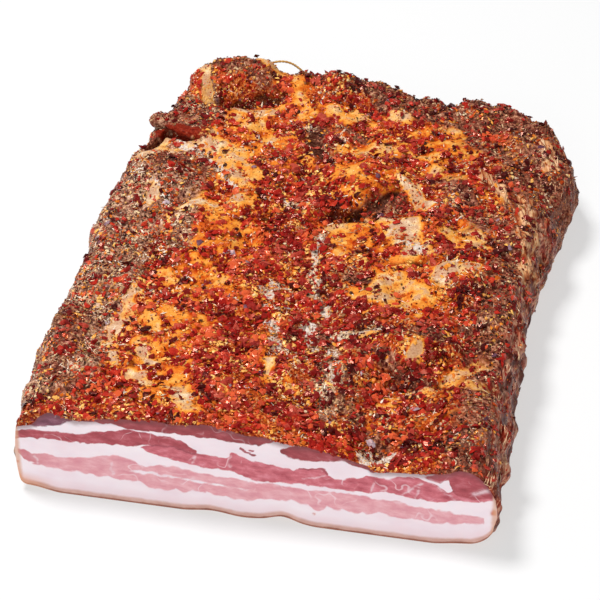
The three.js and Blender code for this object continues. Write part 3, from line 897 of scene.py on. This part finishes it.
def cut_material():
    """The moist cut: white fat, three depths of lean, a purple edge, the tan rind, and a dark band under the
    crust that is partly painted shade.
    """
    s = Shader("cut_face", Subsurface_Weight=0.2, Subsurface_Radius=(1.0, 0.45, 0.4), Subsurface_Scale=0.002,
               Specular_IOR_Level=0.35)
    ragged = s.math("SUBTRACT", s.noise(4.5, 5, stretch=(0.7, 1, 1), roughness=0.65), 0.5)
    grain = s.noise(3.5, 5, stretch=(0.45, 1, 1), roughness=0.65)
    cloud = s.noise(15, 3, stretch=(0.6, 1, 1))
    rind = s.attribute("over_rind")
    across = s.add("SeparateXYZ", {0: s.add("TexCoord").outputs["Object"]}).outputs["X"]
    s.colour = s.ramp(cloud, "#f0dfe7", "#f8edf3", "#fcf6f9")
    s.cover(s.step(rind, 14, 3), "#ecccd2", 0.6)
    contour = s.math("ABSOLUTE", s.math("SUBTRACT", s.noise(11, 1), 0.5))
    marbled = s.times(s.step(contour, 0.024, 0.004), s.step(s.noise(12, 2), 0.48, 0.65))

    def lay(band, soft, marbling, *colours):
        depth = s.plus(s.attribute(band), ragged, 2.6)
        lean = s.mix(s.times(marbled, marbling), s.ramp(grain, *colours), linear("#f2d6dc"))
        s.cover(s.step(depth, -soft, soft), lean)

    lay("lean_low", 0.6, 0.7, "#d88894", "#e4a2aa", "#f0c0c6")
    tip = s.times(s.step(across, -0.092, -0.108), s.step(s.attribute("lean_low"), -0.3, 0.5))
    s.cover(tip, "#c25c66", 0.65)
    lay("lean_main", 0.4, 0.6, "#a63e4c", "#cc6874", "#e494a0")
    lay("lean_side", 0.4, 0.5, "#8a2c36", "#b04a54", "#ca707a")
    lay("lean_top", 0.4, 0.3, "#7c2e34", "#a03f46", "#bc6066")
    lay("purple", 0.5, 0.5, "#5a2c3c", "#80465a", "#a06c7a")
    s.cover(s.times(s.attribute("vein"), s.step(grain, 0.35, 0.6)), "#efdce2", 0.7)
    s.cover(s.step(s.attribute("seam"), 0.2, 0.7), s.ramp(grain, "#84303c", "#a84c58", "#c06a76"))
    s.cover(s.attribute("speck"), "#c9541f")
    # A dark band just under the crust's edge, partly dried lean and partly painted shade under the crust
    s.cover(s.step(s.plus(s.attribute("under_crust"), ragged, 3), 4.5, 0.2), "#6a3436", 0.6)
    rind = s.plus(rind, ragged, 1.6)
    s.cover(s.step(rind, 4.4, 2.2), s.ramp(grain, "#c08a78", "#d2a090", "#e0b6a8"), 0.9)
    s.cover(s.step(rind, 1.6, 0.5), s.ramp(grain, "#7c4432", "#9c5c46", "#b87e66"))
    s.cover(s.step(s.plus(s.attribute("from_side"), ragged, 1.4), 2.4, 0.4), "#dba688", 0.75)
    corner = s.times(s.step(across, -0.09, -0.112), s.step(rind, 9, 2))
    s.cover(corner, "#dc9a74", 0.6)
    return s.finish(s.plus(0.3, cloud, 0.3), grain, 0.2, 0.3)


def rind_material():
    """The tan skin under the slab, with its pores."""
    s = Shader("rind", Roughness=0.55)
    fine, pores = s.noise(1.2, 3), s.cells(2.4)
    s.colour = s.ramp(s.noise(14, 4), "#9c6248", "#b98365", "#cfa083")
    s.cover(s.step(pores, 0.22, 0.05), "#7d4430", 0.6)
    return s.finish(None, s.math("ADD", fine, pores), 0.4, 0.5)


def spice_material(name, colours, roughness):
    """A kind of spice: each piece has its own tint of these colours."""
    s = Shader(name, Roughness=roughness, Specular_IOR_Level=0.6, Specular_Tint=WARM_GLOSS)
    fine = s.noise(1.1, 3)
    tint = s.plus(s.attribute("tint"), s.math("SUBTRACT", fine, 0.5), 0.6)
    s.colour = s.ramp(tint, *colours, low=0.15, high=0.85)
    return s.finish(None, fine, 0.3, 0.5)


# Where the crust has a look of its own, the values of its zone over which a kind's density there takes over
DENSITY_STEPS = [
    ("rich", 0.2, 0.7), ("pepper", 0.3, 0.7), ("brown", 0.3, 0.7),
    ("side", 0.5, 0.9), ("membrane", 0.3, 0.7), ("fat", 0.2, 0.52),
]
# The kinds of spice: sides of a piece (none for a ball), how many, smallest and largest across, thickness
# and narrowness as shares of that, tilt in radians, roughness, colours, how much it gathers in clumps and by
# which noise, and how dense it is on the plain rub and each look above. Strands also have the way they lie
KINDS = {
    "chilli_deep": dict(
        sides=6, count=8500, across=(1.3, 5.4), thick=0.42, narrow=(0.5, 1.0), tilt=0.45, roughness=0.2,
        colours=("#3e070a", "#6e1010", "#94231d", "#b84a38"), clumping=1.3, clumps=RED_CLUMPS,
        dense=(1.0, 0.65, 0.25, 0.4, 0.4, 0.3, 0.05),
    ),
    "chilli_red": dict(
        sides=6, count=8500, across=(1.3, 5.2), thick=0.42, narrow=(0.5, 1.0), tilt=0.45, roughness=0.18,
        colours=("#780d0c", "#a41c15", "#bc3020", "#d65a32"), clumping=1.3, clumps=40,
        dense=(1.0, 1.5, 0.2, 0.12, 0.04, 0.3, 0.06),
    ),
    "chilli_fine": dict(
        sides=4, count=17000, across=(0.7, 1.9), thick=0.55, narrow=(0.5, 1.0), tilt=0.5, roughness=0.22,
        colours=("#5c0a04", "#a4200c", "#d24c1a", "#f09040"), clumping=0.6, clumps=42,
        dense=(1.0, 1.3, 0.6, 0.4, 0.12, 0.5, 0.4),
    ),
    "orange_bits": dict(
        sides=5, count=10500, across=(1.0, 3.6), thick=0.36, narrow=(0.4, 1.0), tilt=0.4, roughness=0.22,
        colours=("#a43c10", "#d06a1c", "#e89434", "#f4ba62"), clumping=1.2, clumps=44,
        dense=(1.0, 1.3, 0.3, 0.35, 0.1, 0.25, 0.3),
    ),
    "seeds": dict(
        sides=0, count=650, across=(2.0, 3.2), thick=0.36, narrow=(0.7, 1.0), tilt=0.3, roughness=0.28,
        colours=("#b97a34", "#d29c54", "#e2b674", "#eccb96"), clumping=0.8, clumps=44,
        dense=(1.0, 1.0, 0.8, 0.6, 0.1, 0.4, 0.1),
    ),
    "pepper_dark": dict(
        sides=4, count=11000, across=(0.7, 2.2), thick=0.6, narrow=(0.6, 1.0), tilt=0.5, roughness=0.4,
        colours=("#200e0a", "#3a1c14", "#583226", "#7a5444"), clumping=1.2, clumps=46,
        dense=(0.18, 0.06, 2.0, 1.6, 0.2, 0.3, 0.1),
    ),
    "pepper_tan": dict(
        sides=4, count=11000, across=(0.7, 2.6), thick=0.45, narrow=(0.4, 1.0), tilt=0.4, roughness=0.4,
        colours=("#8a5a36", "#b48458", "#d4aa7e", "#ebd2aa"), clumping=1.2, clumps=48,
        dense=(0.3, 0.06, 1.5, 0.7, 0.12, 1.0, 0.1),
    ),
    "strands": dict(
        sides=4, count=1200, across=(4.0, 13.0), thick=0.06, narrow=(0.06, 0.14), tilt=0.08, roughness=0.4,
        colours=("#6e3a28", "#9c684c", "#c4946e", "#e2bc94"), clumping=0.5, clumps=50,
        dense=(0.0, 0.0, 0.0, 0.08, 1.5, 0.3, 0.0), lie=(0.3, -1.0, 0.0),
    ),
    # Pale curls, partly shreds of fat and membrane and partly painted highlights on the wet rub
    "curls_and_highlights": dict(
        sides=4, count=9000, across=(1.4, 4.6), thick=0.12, narrow=(0.1, 0.3), tilt=0.5, roughness=0.35,
        colours=("#c09268", "#dcbb92", "#eed8ba", "#f8ecd8"), clumping=1.0, clumps=52,
        dense=(0.8, 0.25, 0.8, 0.25, 0.12, 3.0, 0.1),
    ),
    "onion_skin": dict(
        sides=6, count=160, across=(2.5, 5.5), thick=0.16, narrow=(0.5, 0.9), tilt=0.3, roughness=0.3,
        colours=("#5a3446", "#74505f", "#937580", "#b5a0a6"), clumping=0.3, clumps=54,
        dense=(1.0, 1.0, 0.8, 0.5, 0.2, 1.5, 0.1),
    ),
}
FIRST_SEED = 100
# A box round the torn pocket and its tongue, and how many of a mesh's triangles in a row are in it at least
# where a boolean made them
TORN_LOW, TORN_HIGH = (-130, 70, 20), (-65, 120, 70)
TORN_RUN = 1000
# The height up to which the walls are bare, which is more near the cut, and over which the spice then begins
LOWEST_SPICE, SPICE_FADE = 5.0, 10.0
SKIN_AT_CUT, SKIN_FADE = 30.0, 60.0
# How dense spice is in the torn pocket, how much thinner on bare meat, and how deep folds are that lose it
POCKET_DENSITY, POCKET_REACH = 0.08, 1.1
BARE_THINNING = 0.9
DEEP_FOLD = (-3, -1)
# The least and the most that clumps make of a density
SPARSEST, DENSEST = 0.03, 3.0
# The power that makes most pieces small, how upright normals are on walls and on the top, and the share of
# size and tilt that is left on walls
MOSTLY_SMALL = 1.9
STEEP = (0.3, 0.9)
SMALL_ON_SIDES = 0.6
# How uneven a piece is, and how far one strand's way differs from another's
RAGGED, CORNER_SHAKE = (0.6, 1.2), 0.06
LIE_WOBBLE = 0.12
# How high a piece sits, in thicknesses, how much lower on walls, and how much tilt lifts it
SITTING, SUNK_ON_SIDES, LIFTED = (-0.1, 0.6), 0.5, 0.15
# How far a piece may reach past the cut
OVERHANG = 1.5
# A piece's place among its kind's colours: the usual one, and what patches, chance and brown areas change
TINT, TINT_OF_PATCH, TINT_BY_CHANCE, DARKER_ON_BROWN = 0.52, 0.45, 0.18, 0.25
# The largest pieces of the rub, as in the part's source: how many, the share of the top kept bare along its
# edges, the bare patches (x and y of the centre, reach along x and y), each kind's share, size and tilt, and
# the strides that spread them
LARGE_COUNT = 135
LARGE_EDGE = 0.035
BARE_PATCHES = [(60, 24, 24, 16), (58, -16, 20, 12), (-58, -108, 16, 14), (-96, 96, 20, 20)]
TWINE_CLEARANCE = 5.0
LARGE_TINT = 0.25
LARGE_CHILLI = {
    "share": 0.62, "across": (4, 6.5), "narrow": (0.55, 0.9), "top": 0.8, "thick": 1.1, "sides": 5,
    "tilt": 24,
}
LARGE_SEED = {"share": 0.18, "across": (3, 3.8), "narrow": 0.85, "thick": 1.2, "tilt": 14}
LARGE_PEPPER = {"across": (2.2, 3.2)}
LARGE_LEAN = 0.2
STRIDE = {
    "across": 0.7548776662, "along": 0.569840291, "size": 0.6180339887, "yaw": 0.4142135624,
    "tilt": 0.7320508076,
}


def unit_shape(sides):
    """Points and triangles of a double pyramid one across with this many sides, or of a ball for none."""
    if sides:
        turn = 2 * np.pi * np.arange(sides) / sides
        rim = np.stack([np.cos(turn) / 2, np.sin(turn) / 2, 0 * turn], 1)
        step = np.arange(sides)
        after = (step + 1) % sides
        upper = np.stack([step, after, np.full(sides, sides)], 1)
        lower = np.stack([after, step, np.full(sides, sides + 1)], 1)
        return np.concatenate([rim, [[0, 0, 0.5], [0, 0, -0.5]]]), np.concatenate([upper, lower])
    ball = bmesh.new()
    bmesh.ops.create_uvsphere(ball, u_segments=7, v_segments=3, radius=0.5)
    bmesh.ops.triangulate(ball, faces=list(ball.faces))
    ball.verts.index_update()
    points = np.array([v.co for v in ball.verts])
    faces = np.array([[v.index for v in f.verts] for f in ball.faces])
    ball.free()
    return points, faces


def across_normals(normals, turn):
    """Two directions along the surface at each normal, turned by an angle about it."""
    aside = np.where(np.abs(normals[:, :1]) < 0.9, [[1.0, 0, 0]], [[0, 1.0, 0]])
    first = unit(np.cross(normals, aside))
    second = np.cross(normals, first)
    cos, sin = np.cos(turn)[:, None], np.sin(turn)[:, None]
    return first * cos + second * sin, second * cos - first * sin


def steadied(points, triangles):
    """The triangles with the torn pocket's sorted by place, as a boolean's order varies from run to run."""
    middles = points[triangles].mean(axis=1)
    torn = np.all((middles > TORN_LOW) & (middles < TORN_HIGH), axis=1)
    made = triangles.copy()
    for run in np.split(np.arange(len(triangles)), np.flatnonzero(np.diff(torn)) + 1):
        if torn[run[0]] and len(run) > TORN_RUN:
            by_place = triangles[run[np.lexsort(np.round(middles[run], 3).T)]]
            made[run] = np.take_along_axis(by_place, np.argsort(points[by_place][:, :, 0], axis=1), axis=1)
    return made


class Surface:
    """The crust's triangles, to scatter spice on."""

    def __init__(self, body):
        mesh = body.data
        self.points, self.normals = points_of(mesh), normals_of(mesh)
        looks = read(mesh.polygons, "material_index", np.int32, 1).ravel()
        self.triangles = steadied(self.points, triangles_of(mesh)[looks == 0])
        corners = self.points[self.triangles]
        area = np.linalg.norm(np.cross(corners[:, 1] - corners[:, 0], corners[:, 2] - corners[:, 0]), axis=1)
        middles = corners.mean(axis=1)
        self.middles, self.zones = middles, zones(middles)
        in_pocket = np.zeros(len(middles), bool)
        for at, size, turn in POCKETS:
            c, s = math.cos(math.radians(turn)), math.sin(math.radians(turn))
            local = (middles - at) @ np.array([[c, -s, 0], [s, c, 0], [0, 0, 1]]) / size
            in_pocket |= (local**2).sum(axis=1) < POCKET_REACH
        near_cut = 1 - smoothstep(CUT_Y, CUT_Y + SKIN_FADE, middles[:, 1])
        bare = LOWEST_SPICE + (SKIN_AT_CUT - LOWEST_SPICE) * near_cut
        self.weight = area * smoothstep(bare, bare + SPICE_FADE, middles[:, 2])
        self.weight *= np.where(in_pocket, POCKET_DENSITY, 1.0)
        self.weight *= (1 - BARE_THINNING * self.zones["bare"]) * smoothstep(*DEEP_FOLD, self.zones["fold"])

    def scatter(self, look, rng):
        """Places and normals of the pieces of one kind, in clumps, and denser where the zones say so."""
        count = look["count"]
        plain, *others = look["dense"]
        weight = np.full(len(self.triangles), plain)
        for (zone, low, high), dense in zip(DENSITY_STEPS, others):
            weight += (dense - weight) * smoothstep(low, high, self.zones[zone])
        weight *= np.clip(1 + look["clumping"] * clumps(self.middles, look["clumps"]), SPARSEST, DENSEST)
        weight = np.cumsum(weight * self.weight)
        chosen = np.searchsorted(weight, rng.random(count) * weight[-1])
        corner = self.triangles[np.minimum(chosen, len(weight) - 1)]
        share = rng.dirichlet((1, 1, 1), count)[:, :, None]
        normals = (self.normals[corner] * share).sum(axis=1)
        return (self.points[corner] * share).sum(axis=1), unit(normals)


def spread(i, stride):
    """An evenly spread 0 to 1 value for piece number i: each stride gives its own sequence."""
    return (0.5 + i * stride) % 1


def large_piece(i):
    """The kind of one large piece, its points and triangles as it lies in the plane z = 0, and its tilt."""
    kind, size = spread(i, STRIDE["size"] + STRIDE["yaw"]), spread(i, STRIDE["size"])
    if kind < LARGE_CHILLI["share"]:
        turn = 2 * np.pi * np.arange(LARGE_CHILLI["sides"]) / LARGE_CHILLI["sides"]
        narrow, high = between(LARGE_CHILLI["narrow"], size), LARGE_CHILLI["thick"] / 2
        rim = np.stack([np.sin(turn), -narrow * np.cos(turn)], 1) * between(LARGE_CHILLI["across"], size) / 2
        rings = [np.c_[rim * LARGE_CHILLI["top"], 0 * turn + high], np.c_[rim, 0 * turn - high]]
        return "chilli_red", capped(np.stack(rings), (0, 0, high), (0, 0, -high)), LARGE_CHILLI["tilt"]
    points, faces = unit_shape(0)
    if kind < LARGE_CHILLI["share"] + LARGE_SEED["share"]:
        across = between(LARGE_SEED["across"], size)
        points = points * (across, across * LARGE_SEED["narrow"], LARGE_SEED["thick"])
        return "seeds", (points, faces), LARGE_SEED["tilt"]
    return "pepper_dark", (points * between(LARGE_PEPPER["across"], size), faces), 0


def large_pieces(body):
    """Points and triangles of the largest pieces of each kind, where the part's source has them too."""
    tree = BVHTree.FromPolygons(points_of(body.data), triangles_of(body.data).tolist())
    reach = TWINE_CLEARANCE + TWINE_DIAMETER / 2
    twine_low, twine_high = np.min(TWINE_ROUTE, axis=0) - reach, np.max(TWINE_ROUTE, axis=0) + reach
    made = {name: [] for name in KINDS}
    i = -1
    while sum(map(len, made.values())) < LARGE_COUNT:
        i += 1
        across = between((-1 + LARGE_EDGE, 1 - LARGE_EDGE), spread(i, STRIDE["across"]))
        along = between((LARGE_EDGE, 1 - LARGE_EDGE), spread(i, STRIDE["along"]))
        x, y, _ = slab_points(np.array([across]), np.array([along]), np.array([1.0]))[0]
        if any(mound(patch, x, y) > 0.5 for patch in BARE_PATCHES):
            continue
        place, normal, _, _ = tree.ray_cast(Vector((x, y, 2 * TOP_Z)), Vector((0, 0, -1)))
        if np.all(place > twine_low) and np.all(place < twine_high):
            continue
        name, (points, faces), tilt = large_piece(i)
        turn = Vector((0, 0, 1)).rotation_difference(normal).to_matrix()
        turn = turn @ Matrix.Rotation(2 * math.pi * spread(i, STRIDE["yaw"]), 3, "Z")
        turn = turn @ Matrix.Rotation(math.radians(tilt * (spread(i, STRIDE["tilt"]) - LARGE_LEAN)), 3, "X")
        made[name].append((points @ np.array(turn).T + np.array(place), faces))
    return made


def joined(skins):
    """Several (points, triangles) skins as one, and which of them each point belongs to."""
    counts = [len(points) for points, _ in skins]
    starts = np.cumsum([0, *counts[:-1]])
    faces = np.concatenate([faces + start for (_, faces), start in zip(skins, starts)])
    return np.concatenate([points for points, _ in skins]), faces, np.repeat(np.arange(len(skins)), counts)


def spice(name, look, surface, large, seed):
    """All the pieces of one kind, scattered and large, as one mesh."""
    rng = np.random.default_rng(seed)
    count, thick = look["count"], look["thick"]
    places, normals = surface.scatter(look, rng)
    shape, faces = unit_shape(look["sides"])
    level = smoothstep(*STEEP, normals[:, 2])
    calm = SMALL_ON_SIDES + (1 - SMALL_ON_SIDES) * level
    across = between(look["across"], rng.random(count) ** MOSTLY_SMALL) * calm
    local = shape[None] * rng.uniform(*RAGGED, (count, len(shape), 1))
    if look["sides"]:
        local = local + rng.normal(0, CORNER_SHAKE, local.shape)
    size = np.stack([np.ones(count), rng.uniform(*look["narrow"], count), np.full(count, thick)], 1)
    local = local * (across[:, None] * size)[:, None]
    tilt = np.abs(rng.normal(0, look["tilt"], count)) * calm
    aside, _ = across_normals(normals, rng.uniform(0, 2 * np.pi, count))
    up = normals * np.cos(tilt)[:, None] + aside * np.sin(tilt)[:, None]
    first, second = across_normals(up, rng.uniform(0, 2 * np.pi, count))
    if "lie" in look:
        first = look["lie"] + rng.normal(0, LIE_WOBBLE, (count, 3))
        second = unit(np.cross(up, first))
        first = np.cross(second, up)
    rise = thick * (rng.uniform(*SITTING, count) - SUNK_ON_SIDES * (1 - level)) + LIFTED * np.sin(tilt)
    points = (places + normals * (rise * across)[:, None])[:, None]
    for i, axis in enumerate((first, second, up)):
        points = points + local[:, :, i:i + 1] * axis[:, None]
    points[:, :, 1] = np.maximum(points[:, :, 1], CUT_Y - OVERHANG)
    points, faces, owner = joined([*((p, faces) for p in points), *large])
    made = mesh_object(name, points, faces, not look["sides"])
    tint = TINT + TINT_OF_PATCH * noise(places, PATCH_SIZE, look["clumps"] + 1)
    tint += rng.uniform(-TINT_BY_CHANCE, TINT_BY_CHANCE, count)
    tint -= DARKER_ON_BROWN * np.clip(zones(places)["brown"], 0, 1)
    set_attribute(made.data, "tint", np.r_[tint, np.full(len(large), LARGE_TINT)][owner])
    made.data.materials.append(spice_material(name, look["colours"], look["roughness"]))
    return made


# The twine's mesh: steps along it, points round it, turns in radians for each millimetre, and its narrowest
# radius as a share of the widest
TWINE_STEPS, TWINE_SIDES = 110, 14
TWINE_TWIST = 1.5
TWINE_WAIST = 0.66


def route_of_twine(steps):
    """Points along the twine, evenly between its knots."""
    knots = np.array(TWINE_ROUTE, float)
    along = run_along(knots)
    at = np.linspace(0, along[-1], steps)
    return np.stack([through(list(zip(along, knots[:, i])), at) for i in range(3)], 1)


def twine():
    """Two strands twisted round each other."""
    line = route_of_twine(TWINE_STEPS)
    ahead = unit(np.gradient(line, axis=0))
    first, second = across_normals(ahead, np.zeros(len(line)))
    angle = 2 * np.pi * np.arange(TWINE_SIDES) / TWINE_SIDES
    twisted = np.abs(np.cos(angle[None] - run_along(line)[:, None] * TWINE_TWIST))
    lobes = TWINE_WAIST + (1 - TWINE_WAIST) * twisted
    out = first[:, None] * np.cos(angle)[None, :, None] + second[:, None] * np.sin(angle)[None, :, None]
    tube = line[:, None] + out * lobes[:, :, None] * TWINE_DIAMETER / 2
    points, faces = capped(tube, line[0], line[-1])
    made = mesh_object("twine_loop", points, faces[:, ::-1], True)
    made.data.materials.append(twine_material())
    return made, line


def twine_material():
    s = Shader("twine", Roughness=0.7)
    fibre = s.noise(0.5, 3, stretch=(0.3, 1, 1))
    s.colour = s.ramp(fibre, "#8a5a25", "#b98a45", "#d8b06a")
    s.cover(s.step(s.noise(3.5, 3), 0.6, 0.7), "#4d2c17", 0.7)
    return s.finish(None, fibre, 0.2, 0.6)


# The stage: the floor's half size, grey and glow, how strong the white all round is, and the lights, with
# place and size in metres and power in watts
FLOOR_HALF, FLOOR_GREY, FLOOR_GLOW = 3000, 0.36, 0.55
WORLD_STRENGTH = 0.2
LIGHTS = {"key": ((-0.55, 0.15, 1.7), 0.5, 33), "fill": ((0.2, -1.6, 0.9), 1.2, 13)}


def floor():
    corners = np.array([[-1, -1, 0], [1, -1, 0], [1, 1, 0], [-1, 1, 0]]) * FLOOR_HALF
    made = mesh_object("floor", corners, [[0, 1, 2, 3]], False)
    s = Shader("pale_floor", Base_Color=(FLOOR_GREY, FLOOR_GREY, FLOOR_GREY, 1), Roughness=0.9,
               Specular_IOR_Level=0.0, Emission_Color=(1, 1, 1, 1), Emission_Strength=FLOOR_GLOW)
    made.data.materials.append(s.material)


def camera():
    azimuth, elevation = math.radians(CAMERA_AZIMUTH), math.radians(CAMERA_ELEVATION)
    flat = math.cos(elevation)
    back = Vector((math.sin(azimuth) * flat, -math.cos(azimuth) * flat, math.sin(elevation)))
    lens = bpy.data.cameras.new("camera")
    lens.lens, lens.sensor_width = CAMERA_LENS, CAMERA_SENSOR
    lens.clip_end = CAMERA_REACH * MM
    made = placed("camera", lens)
    made.location = (Vector(CAMERA_TARGET) + back * CAMERA_DISTANCE) * MM
    made.rotation_euler = back.to_track_quat("Z", "Y").to_euler()
    bpy.context.scene.camera = made


def light():
    """White from all round, and round lights that face the middle of the floor."""
    world = bpy.data.worlds.new("studio")
    bpy.context.scene.world = world
    world.use_nodes = True
    world.node_tree.nodes["Background"].inputs["Color"].default_value = (1, 1, 1, 1)
    world.node_tree.nodes["Background"].inputs["Strength"].default_value = WORLD_STRENGTH
    for name, (at, size, power) in LIGHTS.items():
        lamp = bpy.data.lights.new(name, "AREA")
        lamp.shape, lamp.size, lamp.energy = "DISK", size, power
        made = placed(name, lamp)
        made.location = at
        made.rotation_euler = Vector(at).to_track_quat("Z", "Y").to_euler()
    bpy.context.scene.view_settings.view_transform = "Standard"


camera()
loop, loop_line = twine()
slab = meat()
rub = Surface(slab)
large_by_kind = large_pieces(slab)
pieces = [slab, loop]
for number, (kind, kind_look) in enumerate(KINDS.items()):
    pieces.append(spice(kind, kind_look, rub, large_by_kind[kind], FIRST_SEED + number))
for piece in pieces:
    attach(piece, "root")
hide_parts("slab")
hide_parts("twine")
floor()
light()
